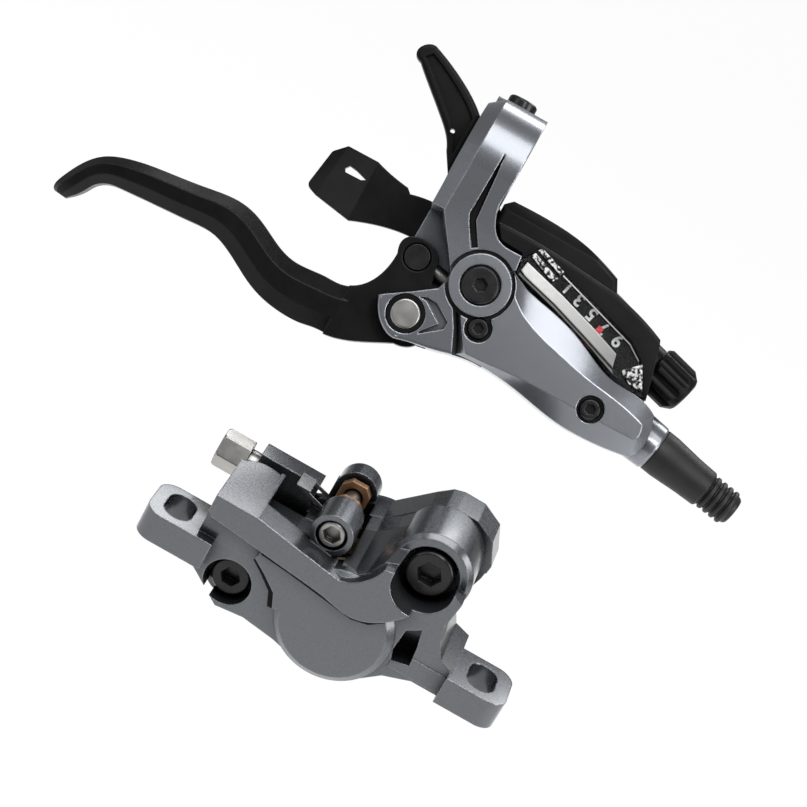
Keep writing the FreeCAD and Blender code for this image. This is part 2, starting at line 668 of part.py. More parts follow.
def shifter_cover():
    outer = [(14, -11), (26, -8), (38, -10), (47, -16), (50, -25), (47, -34), (38, -39.5), (24, -41), (13, -38)]
    inner = [(12, -9), (26, -6), (37.0, -11.8), (45.2, -17.2), (48.0, -25), (45.2, -33), (37.2, -37.7),
             (24, -45), (11, -40)]
    shell = plate(outer, shell_low - cover_thick, case_floor - base_thick)
    shell = shell.cut(plate(inner, shell_low, case_floor))
    for v in (spring_v, spring_v - 4.6):
        shell = shell.fuse(post(spring_to + 0.8, v, 0.8, shell_low, case_floor - base_thick))
    return shell.cut(post(axle_u, axle_v, axle_r, -50, 0))


def spool_top():
    return case_top - case_wall - 0.8


def cable_spool():
    low = spool_top() - spool_height
    profile = [(0, spool_r), (1.2, spool_r), (2.0, spool_r - 1.5), (3.0, spool_r - 1.5), (3.8, spool_r),
               (spool_height, spool_r)]
    wheel = turned(profile, Vector(axle_u, axle_v, low), Z)
    for k in range(5):
        turn = math.radians(72 * k + 20)
        wheel = wheel.cut(post(axle_u + 6.0 * math.cos(turn), axle_v + 6.0 * math.sin(turn), 1.3, -40, 0))
    return wheel.cut(post(axle_u, axle_v, axle_r + axle_gap, -40, 0))


def ratchet_wheel():
    high = spool_top() - spool_height
    points = []
    for k in range(ratchet_teeth):
        turn = math.radians(360 * k / ratchet_teeth)
        later = math.radians(360 * (k + 0.72) / ratchet_teeth)
        points.append((axle_u + ratchet_r * math.cos(turn), axle_v + ratchet_r * math.sin(turn)))
        points.append((axle_u + (ratchet_r - 1.5) * math.cos(later), axle_v + (ratchet_r - 1.5) * math.sin(later)))
    wheel = plate(points, high - ratchet_thick, high)
    return wheel.cut(post(axle_u, axle_v, axle_r + axle_gap, -40, 0))


def ratchet_pawl():
    high = spool_top() - spool_height
    pin = (axle_u + 15.5, axle_v + 6.0)
    arm = plate([(pin[0] + 2.0, pin[1] - 1.0), (pin[0] + 1.6, pin[1] + 2.0), (pin[0] - 1.0, pin[1] + 1.8),
                 (axle_u + ratchet_r + 0.5, axle_v + 1.4), (axle_u + ratchet_r + 0.5, axle_v - 0.4),
                 (pin[0] - 0.6, pin[1] - 2.0)], high - ratchet_thick, high)
    stud = post(pin[0], pin[1], 1.1, case_floor + 0.2, case_top - case_wall - 0.2)
    return arm.fuse(stud)


def thumb_lever():
    arm = slab([[(-7.7, 10.3), (2.4, 0.6), (14, -14), (25.6, -18.2)],
                [(25.6, -18.2), (30.6, -22), (30.2, -28), (25, -31.2)],
                [(25, -31.2), (18.5, -29.5), (10, -22.5), (0, -13.8), (-7.3, -6.3)],
                [(-7.3, -6.3), (-10.8, -0.9)], [(-10.8, -0.9), (-12, 3), (-11, 9)], [(-11, 9), (-7.7, 10.3)]],
               thumb_low, thumb_top)
    pad = slab([[(-7.7, 10.3), (-10.8, 12.8), (-16.0, 15.9), (-21.1, 18.3), (-25.3, 19.9)],
                [(-25.3, 19.9), (-27.9, 18.9), (-28.9, 17.0), (-26.8, 14.7)],
                [(-26.8, 14.7), (-21.1, 9.8), (-16.0, 5.5), (-12.8, 2.4), (-10.8, -0.9)],
                [(-10.8, -0.9), (-7.5, -6.0)], [(-7.5, -6.0), (-7.7, 10.3)]], thumb_low, thumb_top + pad_rise)
    pad = pad.makeFillet(pad_round, top_rim(pad, thumb_top + pad_rise, 1.0))
    dish = slab([[(-9.0, 8.8), (-11.4, 10.8), (-16.2, 13.8), (-21.0, 16.3), (-25.0, 17.9)],
                 [(-25.0, 17.9), (-26.4, 16.4)], [(-26.4, 16.4), (-20.6, 11.7), (-15.5, 7.3), (-11.5, 3.4)],
                 [(-11.5, 3.4), (-9.0, -1.0)], [(-9.0, -1.0), (-9.0, 8.8)]], thumb_top + 0.3, thumb_top + 3)
    lever = arm.fuse(pad).removeSplitter().cut(dish)
    lever = lever.cut(post(-11.8, 3.9, 0.6, -40, 0))
    return lever.cut(post(axle_u, axle_v, axle_r + axle_gap, -40, 0))


def release_lever():
    arm = slab([[(-13.3, -14.3), (-7.1, -13.2), (6, -14.5), (16, -17), (25, -18.4)],
                [(25, -18.4), (30.4, -22), (30, -28), (25, -31)],
                [(25, -31), (14, -30.0), (4, -25.4), (-8.3, -23.4), (-15.1, -24.5), (-23.5, -27.4)],
                [(-23.5, -27.4), (-24.0, -11.3)], [(-24.0, -11.3), (-19.3, -12.5), (-14.6, -13.2)],
                [(-14.6, -13.2), (-13.3, -14.3)]], release_low, release_top)
    drop = 5.0
    low = Part.makePolygon([Vector(*p) for p in (
        (-23.4, -27.4, release_low), (-23.9, -11.3, release_low), (-23.9, -11.3, release_top),
        (-23.4, -27.4, release_top), (-23.4, -27.4, release_low))])
    mid = Part.makePolygon([Vector(*p) for p in (
        (-33.9, -25.6, release_low - drop), (-32.6, -11.1, release_low - drop),
        (-32.6, -11.1, release_top - drop + 0.5), (-33.9, -25.6, release_top - drop + 0.5),
        (-33.9, -25.6, release_low - drop))])
    end = Part.makePolygon([Vector(*p) for p in (
        (-37.1, -24.4, release_low - drop - 1.4), (-35.6, -14.0, release_low - drop - 1.4),
        (-35.6, -14.0, release_top - drop - 1.2), (-37.1, -24.4, release_top - drop - 1.2),
        (-37.1, -24.4, release_low - drop - 1.4))])
    paddle = Part.makeLoft([low, mid, end], True, True)
    corners = [e for e in paddle.Edges if e.BoundBox.XMax < -34 and e.BoundBox.ZLength > e.BoundBox.YLength]
    paddle = paddle.makeFillet(paddle_round, corners)
    lever = arm.fuse(paddle).removeSplitter()
    window = plate([(-30.6, -16.3), (-29.8, -15.3), (-27.7, -15.6), (-24.5, -16.6), (-25.6, -17.2),
                    (-30.1, -17.2)], -60, 0)
    return lever.cut(window).cut(post(axle_u, axle_v, axle_r + axle_gap, -60, 0))


def lever_springs():
    springs = []
    for v, w in ((spring_v, (thumb_low + thumb_top) / 2), (spring_v - 4.6, (release_low + release_top) / 2)):
        springs.append(coil(Vector(spring_from, v, w), X, 0.85, 0.24, 1.4, spring_to - spring_from))
    return Part.makeCompound(springs)


def dial_plate():
    return clear_of_housing(grown_plate(window_outline, -0.1, window_floor, window_floor + 1.2))


def gear_needle():
    low = window_floor + 1.5
    flag = block(-0.7, 0.7, -1.6, 1.6, low, low + 0.5)
    carriage = block(-1.6, 1.6, -2.6, -1.4, low, low + 0.9)
    needle = flag.fuse(carriage)
    needle.Placement = Placement(Vector(needle_u, needle_v, 0), Rotation(Z, -dial_tilt))
    return needle


def display_lens():
    low = grown_plate(lens_outline, -0.05, lens_low, lens_high - 0.8)
    top = grown_plate(lens_outline, -0.7, lens_high - 0.8, lens_high)
    bar = plate([(19.2, -19.3), (19.6, -17.3), (30, -20.0), (40, -23.0), (47.6, -25.7), (48.4, -28.6),
                 (39.8, -25.6), (29.8, -22.4), (20.6, -20.1)], lens_high - 0.4, lens_high + lens_bar_rise)
    return clear_of_housing(low.fuse(top).fuse(bar))


def barrel_adjuster():
    start = Vector(adjuster_u, adjuster_v, adjuster_w)
    knob = turned([(0.3, adjuster_r - 0.8), (1.2, adjuster_r), (adjuster_length - 2.4, adjuster_r),
                   (adjuster_length - 0.4, adjuster_r - 1.4), (adjuster_length, adjuster_r - 2.2)],
                  start, dial_axis)
    for k in range(adjuster_flutes):
        turn = 360.0 * k / adjuster_flutes
        flute = rod(Vector(-1, adjuster_r + 0.7, 0), X, 1.5, adjuster_length + 2)
        flute.rotate(Vector(0, 0, 0), X, turn)
        flute.Placement = Placement(start, Rotation(X, dial_axis)).multiply(flute.Placement)
        knob = knob.cut(flute)
    shank = rod(start - dial_axis * 4.6, dial_axis, adjuster_shank_r, 5.4)
    knob = knob.fuse(shank)
    knob = knob.cut(rod(start - dial_axis * 8, dial_axis, 0.9, 30))
    return knob.cut(rod(start + dial_axis * 2.0, dial_axis, cable_r + 0.5, 20))


# The caliper's outlines are drawn in x and z and carried along y
def wall(points, front, back):
    corners = [Vector(x, front, z) for x, z in points]
    return Part.Face(Part.makePolygon(corners + corners[:1])).extrude(Vector(0, back - front, 0))


def grown_wall(points, amount, front, back):
    corners = [Vector(x, front, z) for x, z in points]
    face = Part.Face(Part.makePolygon(corners + corners[:1])).makeOffset2D(amount)
    return face.extrude(Vector(0, back - front, 0))


def wall_of_runs(runs, front, back):
    edges = []
    for run in runs:
        corners = [Vector(x, front, z) for x, z in run]
        if len(corners) == 2:
            edges.append(Part.LineSegment(corners[0], corners[1]).toShape())
        else:
            curve = Part.BSplineCurve()
            curve.interpolate(corners)
            edges.append(curve.toShape())
    return Part.Face(Part.Wire(edges)).extrude(Vector(0, back - front, 0))


def peg(x, z, radius, front, back):
    return Part.makeCylinder(radius, back - front, Vector(x, front, z), Y)


def rotor_slot():
    return peg(hub_x, hub_z, rotor_clear_r, seam_y - rotor_gap / 2, seam_y + rotor_gap / 2)


pad_outline = [(-9.6, -11.5), (-6.5, -14.6), (13.4, -14.6), (16.6, -11.4), (16.6, -4.0), (11.5, 3.4), (4.0, 5.6),
               (-1.6, 6.2), (-2.6, 9.0), (-2.6, 14.6), (-4.2, 16.4), (-7.8, 16.4), (-9.4, 14.6), (-9.6, 9.0)]
friction_outline = [(-9.0, -11.2), (-6.2, -14.0), (13.0, -14.0), (16.0, -11.0), (16.0, -4.2), (11.2, 2.8),
                    (3.8, 4.6), (-2.2, 4.6), (-9.0, 2.0)]


def pad_room():
    room = grown_wall(pad_outline, 0.4, seam_y - backing_back - 0.4, seam_y + backing_back + 0.4)
    return room


def mount_slot(x):
    half = (mount_slot_l - mount_slot_w) / 2
    ends = [Part.makeCylinder(mount_slot_w / 2, ear_thick + 2, Vector(x, y, -ear_thick - 1), Z)
            for y in (-half, half)]
    middle = Part.makeBox(mount_slot_w, 2 * half, ear_thick + 2, Vector(x - mount_slot_w / 2, -half, -ear_thick - 1))
    return ends[0].fuse(ends[1]).fuse(middle)


def ear(x0, x1, outer):
    tab = Part.makeBox(x1 - x0, ear_back - ear_front, ear_thick, Vector(x0, ear_front, -ear_thick))
    round_edges = [e for e in tab.Edges
                   if abs(e.Vertexes[0].X - outer) < 0.01 and abs(e.Vertexes[1].X - outer) < 0.01
                   and abs(e.Vertexes[0].Z - e.Vertexes[1].Z) > 1]
    return tab.makeFillet(4.0, round_edges)


def piston_bore(front, back):
    return peg(piston_x, piston_z, caliper_piston_r + caliper_piston_gap, front, back)


def seal_groove(front):
    return peg(piston_x, piston_z, caliper_piston_r + caliper_seal_depth, front, front + caliper_seal_width)


front_bottom = front_face + piston_wall
rear_bottom = back_face - piston_wall
front_seal_y = seam_y - backing_back - 0.4 - 1.6 - caliper_seal_width
rear_seal_y = seam_y + backing_back + 0.4 + 1.6
slot_x = mount_spacing / 2


def front_half():
    left_ear = ear(-slot_x - 6.3, -27.0, -slot_x - 6.3)
    right_ear = ear(30.0, slot_x + 6.7, slot_x + 6.7)
    web = Part.makeBox(14, 10.5, 4.6, Vector(18, -4.8, -6.2))
    main = wall([(-31, 11.3), (-31, -6.7), (-27, -9.5), (-20.5, -14.2), (-14, -13.4), (-6, -14.5), (3.75, -17.2),
                 (13, -13.5), (18, -9), (24, -6.7), (31, -6.7), (31, 0), (27.2, 1.2), (25.2, 5.0), (24.2, 9.0),
                 (25.0, 15.3), (21.5, 17), (10.5, 17), (6.6, 15.3), (4.4, 10.6), (2, 8.8), (0, 7.8),
                 (-14, 10.1), (-21, 11.3)], -4.6, seam_y)
    # the shoulder beside the pad axle leans back towards the seam
    low = [(-1, 8), (2, 8.8), (4.4, 10.6), (6.6, 15.3), (10.5, 17), (16, 0), (-1, 0)]
    high = [(-1, 13), (2, 14), (5.5, 17.2), (9.5, 21.4), (14, 22.5), (16, 0), (-1, 0)]
    rings = []
    for points, y in ((low, -4.6), (high, shoulder_y)):
        corners = [Vector(x, y, z) for x, z in points]
        rings.append(Part.makePolygon(corners + corners[:1]))
    shoulder = Part.makeLoft(rings, True, True).fuse(wall(high, shoulder_y, seam_y))
    teardrop = wall([(-9.4, -7.0), (-10.8, -3.5), (-14.5, -0.5), (-17.6, 1.6), (-17, 5), (5, 3), (3.75, -3.9)],
                    front_face, 0)
    strip = wall_of_runs([[(-31, 11.3), (-21, 11.3)], [(-21, 11.3), (-14, 10.1), (0, 7.8)],
                          [(0, 7.8), (2.4, 8.8), (4.6, 10.6), (7.2, 15.3)], [(7.2, 15.3), (16, 17.5)],
                          [(16, 17.5), (18.6, 12.0)],
                          [(18.6, 12.0), (15, 6.7), (11, 3.2), (6, 1.4), (0, 2.3), (-10, 3.7), (-20, 4.9), (-30, 6.1)],
                          [(-30, 6.1), (-31, 7.2)], [(-31, 7.2), (-31, 11.3)]], -7.7, 0)
    housing = turned([(0, housing_r - 1.6), (1.4, housing_r), (seam_y - front_face, housing_r)],
                     Vector(piston_x, front_face, piston_z), Y)
    boss = turned([(0, right_boss_r - 1.0), (1.2, right_boss_r), (seam_y, right_boss_r)],
                  Vector(right_bolt_x, 0, right_bolt_z), Y)
    lower_boss = peg(left_bolt_x, left_bolt_z, left_boss_r, 0.6, seam_y)
    axle_boss = peg(pad_axle_x, pad_axle_z, 4.8, -1.4, 8.6)
    body = fused([main, shoulder, strip, teardrop, left_ear, right_ear, web, housing, boss, lower_boss])
    recess = wall([(17.6, 3.5), (20.5, 5.5), (21.5, 1.0), (22, -3.5), (18.0, -4.5), (17.2, -2)], -9, recess_y)
    body = body.cut(recess)
    corner = Part.makeBox(12, 10, 30, Vector(-34, 11.7, -17))
    body = body.cut(corner.cut(Part.makeCylinder(6, 30, Vector(-24.9, 5.7 + 3, -17), Z)))
    body = body.cut(Part.makeBox(20.6, 20, 14, Vector(-21, -0.2, 4.6)))
    body = body.fuse(axle_boss)
    body = body.cut(peg(left_bolt_x, left_bolt_z, left_head_r + 0.9, -9, 2.5))
    body = body.cut(peg(right_bolt_x, right_bolt_z, right_recess_r, -9, 4.6))
    body = body.cut(rotor_slot()).cut(pad_room())
    body = body.cut(piston_bore(front_bottom, seam_y)).cut(seal_groove(front_seal_y))
    for x, z in ((left_bolt_x, left_bolt_z), (right_bolt_x, right_bolt_z)):
        body = body.cut(peg(x, z, body_bolt_r + 0.1, -9, 40))
    body = body.cut(peg(pad_axle_x, pad_axle_z, pad_axle_r, -9, 40))
    body = body.cut(peg(pad_axle_x, pad_axle_z, pad_axle_head_r + 0.3, -9, 1.4))
    body = body.cut(peg(port_x, port_z, port_hole_r, 9, 40))
    body = body.cut(peg(port_x, port_z, port_ring_r, seam_y - port_ring_half, seam_y))
    for x in (-slot_x, slot_x):
        body = body.cut(mount_slot(x))
    return body


def rear_half():
    main = wall([(-28, 11.3), (-28, 0), (-27, -9.5), (-20.5, -14.2), (-14, -13.4), (-6, -14.5), (3.75, -17.2),
                 (13, -13.5), (18, -9), (22, -4), (25, 5), (27, 12), (27.5, 16.5), (25, 22), (20, 24.6),
                 (15, 24.7), (12.5, 24.0), (9.5, 21.4), (2, 14.0), (-1, 13.0), (-13.5, 6.4), (-13.5, 11.3)],
                seam_y, 24.2)
    housing = turned([(0, housing_r), (back_face - seam_y - 1.6, housing_r), (back_face - seam_y, housing_r - 1.8)],
                     Vector(piston_x, seam_y, piston_z), Y)
    lower_boss = peg(left_bolt_x, left_bolt_z, left_boss_r, seam_y, 25)
    axle_boss = peg(pad_axle_x, pad_axle_z, 4.8, 21.4, 26.5)
    bridge = wall([(-11, 3), (-1, 3), (1, 13), (-11, 13)], 21.4, 24.2)
    port = rod(Vector(-27.5, nut_y, nut_z), X, 5.0, 12)
    bleed_boss = peg(nipple_x, nipple_z, 4.2, 20, nipple_seat)
    body = fused([main, housing, lower_boss, axle_boss, bridge, port, bleed_boss])
    body = body.cut(Part.makeBox(12.3, 6.2, 14, Vector(-13.3, seam_y - 0.1, 4.6)))
    body = body.cut(Part.makeBox(16, 3.3, 14, Vector(-29, seam_y - 0.1, 1.4)))
    body = body.cut(rotor_slot()).cut(pad_room())
    body = body.cut(piston_bore(seam_y, rear_bottom)).cut(seal_groove(rear_seal_y))
    for x, z in ((left_bolt_x, left_bolt_z), (right_bolt_x, right_bolt_z)):
        body = body.cut(peg(x, z, body_bolt_r, 0, 60))
    body = body.cut(peg(pad_axle_x, pad_axle_z, pad_axle_r, 0, 60))
    body = body.cut(peg(port_x, port_z, port_hole_r, 0, 21))
    body = body.cut(peg(port_x, port_z, port_ring_r, seam_y, seam_y + port_ring_half))
    body = body.cut(rod(Vector(-28.5, nut_y, nut_z), X, 3.0, 8))
    body = body.cut(rod(Vector(-28.5, nut_y, nut_z), X, 1.0, 24))
    return body.cut(peg(nipple_x, nipple_z, 2.0, 21, 40))


# A cup with its open rim against the pad, before or behind the rotor
def caliper_piston(way):
    radius = caliper_piston_r
    face = seam_y + way * backing_back
    profile = [(0.05, radius - 0.4), (0.45, radius), (caliper_piston_h - 0.6, radius),
               (caliper_piston_h, radius - 0.6)]
    cup = turned(profile, Vector(piston_x, face, piston_z), Y * way)
    hollow = Part.makeCylinder(radius - 2.4, caliper_piston_h - 3.0, Vector(piston_x, face, piston_z), Y * way)
    return cup.cut(hollow)


def caliper_seals():
    rings = []
    for front in (front_seal_y, rear_seal_y):
        rings.append(tube(Vector(piston_x, front, piston_z), Y, caliper_piston_r + caliper_seal_depth,
                          caliper_piston_r + caliper_piston_gap, caliper_seal_width))
    return Part.makeCompound(rings)


def pad_plate(front, back):
    backing = wall(pad_outline, front, back)
    return backing.cut(peg(pad_axle_x, pad_axle_z, pad_axle_r + 0.25, front - 1, back + 1))


def front_pad_backing():
    back = seam_y - pad_gap - pad_friction
    return pad_plate(back - pad_backing, back)


def rear_pad_backing():
    front = seam_y + pad_gap + pad_friction
    return pad_plate(front, front + pad_backing)


def front_pad_friction():
    back = seam_y - pad_gap
    return wall(friction_outline, back - pad_friction, back)


def rear_pad_friction():
    front = seam_y + pad_gap
    return wall(friction_outline, front, front + pad_friction)


def pad_spring():
    inner = pad_gap + pad_friction
    legs = []
    for way in (-1, 1):
        y = seam_y + way * (inner - 0.45)
        legs.append(wall([(-9.2, 3.4), (-9.2, 10.2), (-4.0, 10.2), (-4.0, 9.6), (-8.4, 9.0), (-8.4, 3.4)],
                         y - 0.2, y + 0.2))
        legs.append(wall([(-9.2, 9.4), (-9.2, 10.2), (-15.5, 12.2), (-15.5, 11.4)], y - 0.2, y + 0.2))
    bridge = Part.makeBox(3.4, 2 * inner - 0.5, 0.4, Vector(-18.0, seam_y - inner + 0.25, 12.0))
    slope = wall([(-15.5, 11.4), (-15.5, 12.4), (-18.0, 12.4), (-18.0, 12.0)], seam_y - inner + 0.25,
                 seam_y + inner - 0.25)
    return fused(legs + [bridge, slope])


def pad_axle():
    shank = peg(pad_axle_x, pad_axle_z, pad_axle_r, -1.0, 28.4)
    groove = Part.makeCylinder(pad_axle_r + 1, 0.7, Vector(pad_axle_x, 27.0, pad_axle_z), Y)
    groove = groove.cut(Part.makeCylinder(pad_axle_r - 0.5, 0.7, Vector(pad_axle_x, 27.0, pad_axle_z), Y))
    head = head_with_socket(Vector(pad_axle_x, 1.4, pad_axle_z), -Y, pad_axle_head_r, 2.6, pad_axle_key)
    return shank.cut(groove).fuse(head).cut(hexagon(pad_axle_key, Vector(pad_axle_x, 0.9, pad_axle_z), -Y, 4))


def axle_clip():
    ring = tube(Vector(pad_axle_x, 27.05, pad_axle_z), Y, 3.6, pad_axle_r - 0.48, 0.6)
    mouth = Part.makeBox(2.4, 2, 6, Vector(pad_axle_x - 1.2, 26.5, pad_axle_z - 6))
    return ring.cut(mouth)


def body_bolts():
    right = head_with_socket(Vector(right_bolt_x, 4.6, right_bolt_z), -Y, right_head_r, 4.4, 5.0)
    right = right.fuse(peg(right_bolt_x, right_bolt_z, body_bolt_r, 4.6, 23.2))
    left = head_with_socket(Vector(left_bolt_x, 2.5, left_bolt_z), -Y, left_head_r, 4.6, 4.0)
    left = left.fuse(peg(left_bolt_x, left_bolt_z, body_bolt_r, 2.5, 24.0))
    return Part.makeCompound([right, left])


def port_ring():
    return tube(Vector(port_x, seam_y - port_ring_half, port_z), Y, port_ring_r, port_hole_r, 2 * port_ring_half)


def hose_nut():
    hexagonal = hexagon(nut_flats, Vector(nut_from - nut_length, nut_y, nut_z), X, nut_length)
    body = hexagonal.common(turned([(0, 4.2), (0.7, 4.7), (nut_length, 4.7)],
                                   Vector(nut_from - nut_length, nut_y, nut_z), X))
    neck = rod(Vector(nut_from, nut_y, nut_z), X, 3.0, 8.8)
    return body.fuse(neck).cut(rod(Vector(nut_from - nut_length - 2, nut_y, nut_z), X, 1.6, 30))


def bleed_nipple():
    base = Vector(nipple_x, nipple_seat, nipple_z)
    body = hexagon(7.0, base, Y, 2.8).fuse(turned([(0, 2.4), (4.6, 2.0), (5.2, 2.5), (6.6, 1.7)], base, Y))
    body = body.fuse(peg(nipple_x, nipple_z, 2.0, 21.6, nipple_seat))
    return body.cut(peg(nipple_x, nipple_z, 0.6, 24, 40))


def nipple_cap():
    base = Vector(nipple_x, nipple_seat + 3.1, nipple_z)
    cap = turned([(0, 3.2), (3.8, 3.1), (4.6, 2.4)], base, Y)
    return cap.cut(peg(nipple_x, nipple_z, 2.55, 30.0, nipple_seat + 6.8))


lever_nodes = {
    "lever_body": lever_body,
    "reservoir_cover": reservoir_cover,
    "reservoir_diaphragm": diaphragm,
    "cover_screws": cover_screws,
    "lever_bleed_screw": bleed_screw,
    "master_piston": master_piston,
    "master_piston_seals": piston_seals,
    "piston_return_spring": piston_return_spring,
    "retaining_ring": retaining_ring,
    "push_rod": push_rod,
    "brake_lever": brake_lever,
    "reach_barrel": reach_barrel,
    "pivot_bush": pivot_bush,
    "pivot_pin": pivot_pin,
    "pivot_washer": pin_washer,
    "pivot_clip": pin_clip,
    "clamp_bolt": clamp_bolt,
    "gland_nut": gland_nut,
    "compression_olive": compression_olive,
    "hose_boot": hose_boot,
    "shifter_case": shifter_case,
    "bracket_screw": bracket_screw,
    "base_plate": base_plate,
    "shifter_cover": shifter_cover,
    "shift_axle": shift_axle,
    "cable_spool": cable_spool,
    "ratchet_wheel": ratchet_wheel,
    "ratchet_pawl": ratchet_pawl,
    "thumb_lever": thumb_lever,
    "release_lever": release_lever,
    "lever_return_springs": lever_springs,
    "dial_plate": dial_plate,
    "gear_needle": gear_needle,
    "display_lens": display_lens,
    "barrel_adjuster": barrel_adjuster,
}

caliper_nodes = {
    "caliper_front_half": front_half,
    "caliper_rear_half": rear_half,
    "caliper_piston_front": lambda: caliper_piston(-1),
    "caliper_piston_rear": lambda: caliper_piston(1),
    "caliper_piston_seals": caliper_seals,
    "front_pad_backing": front_pad_backing,
    "rear_pad_backing": rear_pad_backing,
    "front_pad_friction": front_pad_friction,
    "rear_pad_friction": rear_pad_friction,
    "pad_spring": pad_spring,
    "pad_axle": pad_axle,
    "pad_axle_clip": axle_clip,
    "caliper_body_bolts": body_bolts,
    "caliper_port_ring": port_ring,
    "caliper_hose_nut": hose_nut,
    "caliper_bleed_nipple": bleed_nipple,
    "bleed_nipple_cap": nipple_cap,
}

os.makedirs("parts", exist_ok=True)
for name, make in lever_nodes.items():
    shape = make()
    shape.rotate(Vector(0, 0, 0), X, lever_turn)
    shape.exportStep("parts/" + name + ".step")
    print(name, "solids", len(shape.Solids), "valid", shape.isValid(), "volume", round(shape.Volume, 1))
for name, make in caliper_nodes.items():
    shape = make()
    shape.translate(caliper_place)
    shape.exportStep("parts/" + name + ".step")
    print(name, "solids", len(shape.Solids), "valid", shape.isValid(), "volume", round(shape.Volume, 1))
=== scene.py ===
import bpy
import bmesh
import json
import math
from mathutils import Matrix, Vector


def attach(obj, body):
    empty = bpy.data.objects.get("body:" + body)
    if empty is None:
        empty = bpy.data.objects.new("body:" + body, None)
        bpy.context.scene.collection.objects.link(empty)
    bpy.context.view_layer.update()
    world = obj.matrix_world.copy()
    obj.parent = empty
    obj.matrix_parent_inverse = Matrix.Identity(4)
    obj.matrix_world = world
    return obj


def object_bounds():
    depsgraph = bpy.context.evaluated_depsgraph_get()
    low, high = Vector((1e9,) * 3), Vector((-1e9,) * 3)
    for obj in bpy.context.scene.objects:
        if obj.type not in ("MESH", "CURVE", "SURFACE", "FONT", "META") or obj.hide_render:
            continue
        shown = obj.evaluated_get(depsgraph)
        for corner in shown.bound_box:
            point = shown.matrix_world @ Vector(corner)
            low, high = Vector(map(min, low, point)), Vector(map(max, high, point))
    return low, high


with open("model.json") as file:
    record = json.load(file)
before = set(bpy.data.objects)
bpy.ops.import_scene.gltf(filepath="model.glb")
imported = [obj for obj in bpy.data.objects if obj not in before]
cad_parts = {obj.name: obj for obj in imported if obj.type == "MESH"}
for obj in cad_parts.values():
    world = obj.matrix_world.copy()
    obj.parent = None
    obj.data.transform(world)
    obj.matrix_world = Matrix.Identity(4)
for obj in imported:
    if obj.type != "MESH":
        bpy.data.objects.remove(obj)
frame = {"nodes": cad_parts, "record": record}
cadLow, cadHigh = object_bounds()

# the lever unit was drawn in its own plane (u along the bar, v across, w out of the plane)
mm = 0.001
leverTurn = Matrix.Rotation(math.radians(65.0), 4, "X")
caliperPlace = Matrix.Translation(Vector((17.0, -88.5, -71.9)) * mm)


# materials: small helpers for the node trees
def newMaterial(name):
    material = bpy.data.materials.new(name)
    material.use_nodes = True
    tree = material.node_tree
    return material, tree, tree.nodes["Principled BSDF"]


def addNode(tree, kind, **inputs):
    # an underscore in a key stands for a space in the socket's name
    node = tree.nodes.new(kind)
    for key, value in inputs.items():
        node.inputs[key.replace("_", " ")].default_value = value
    return node


def mathNode(tree, operation, first, second):
    # each side is a socket to read from, or a plain number
    node = tree.nodes.new("ShaderNodeMath")
    node.operation = operation
    for socket, value in ((node.inputs[0], first), (node.inputs[1], second)):
        if isinstance(value, float):
            socket.default_value = value
        else:
            tree.links.new(value, socket)
    return node.outputs[0]


def objectCoords(tree):
    return tree.nodes.new("ShaderNodeTexCoord").outputs["Object"]


def noiseFrom(tree, vector, scale, detail=4.0, roughness=0.55):
    noise = addNode(tree, "ShaderNodeTexNoise", Scale=scale, Detail=detail, Roughness=roughness)
    tree.links.new(vector, noise.inputs["Vector"])
    return noise.outputs["Fac"]


def rampFrom(tree, fac, stops):
    ramp = tree.nodes.new("ShaderNodeValToRGB")
    elements = ramp.color_ramp.elements
    while len(elements) < len(stops):
        elements.new(0.5)
    for element, (place, color) in zip(elements, stops):
        element.position = place
        element.color = (*color, 1.0)
    tree.links.new(fac, ramp.inputs["Fac"])
    return ramp.outputs["Color"]


def rangeFrom(tree, fac, low, high, fromLow=0.3, fromHigh=0.7):
    mapped = addNode(tree, "ShaderNodeMapRange", From_Min=fromLow, From_Max=fromHigh, To_Min=low, To_Max=high)
    tree.links.new(fac, mapped.inputs["Value"])
    return mapped.outputs["Result"]


def mixColors(tree, fac, first, second):
    # a Mix node keeps its colour inputs at 6 and 7 and its colour output at 2
    mix = tree.nodes.new("ShaderNodeMix")
    mix.data_type = "RGBA"
    tree.links.new(fac, mix.inputs["Factor"])
    for socket, value in ((mix.inputs[6], first), (mix.inputs[7], second)):
        if isinstance(value, tuple):
            socket.default_value = (*value, 1.0)
        else:
            tree.links.new(value, socket)
    return mix.outputs[2]


# edge colour: lighter where the rounded normal leaves the flat one, broken by noise, partly rubbed edges and
# partly painted highlight; shade: painted shade, darker where a place is closed in
wearAndHighlight = {"samples": 6, "flat": 0.99, "turned": 0.85, "breakScale": 900.0, "breakDetail": 3.0, "breakLow": 0.35,
        "breakFrom": 0.4, "breakTo": 0.65}
paintedShade = {"samples": 6, "closed": 0.4, "open": 0.95, "tint": 0.06}


def edgeWearAndHighlight(tree, vector, rounded):
    geometry = tree.nodes.new("ShaderNodeNewGeometry")
    dot = tree.nodes.new("ShaderNodeVectorMath")
    dot.operation = "DOT_PRODUCT"
    tree.links.new(rounded, dot.inputs[0])
    tree.links.new(geometry.outputs["Normal"], dot.inputs[1])
    edge = rangeFrom(tree, dot.outputs["Value"], 0.0, 1.0, wearAndHighlight["flat"], wearAndHighlight["turned"])
    flecks = noiseFrom(tree, vector, wearAndHighlight["breakScale"], wearAndHighlight["breakDetail"])
    broken = rangeFrom(tree, flecks, wearAndHighlight["breakLow"], 1.0, wearAndHighlight["breakFrom"], wearAndHighlight["breakTo"])
    return mathNode(tree, "MULTIPLY", edge, broken)


def shadeOpenness(tree, reach):
    # low in grooves and corners that are narrower than the reach, where painted shade darkens the colour
    near = addNode(tree, "ShaderNodeAmbientOcclusion", Distance=reach * mm)
    near.samples = paintedShade["samples"]
    return rangeFrom(tree, near.outputs["AO"], 0.0, 1.0, paintedShade["closed"], paintedShade["open"])


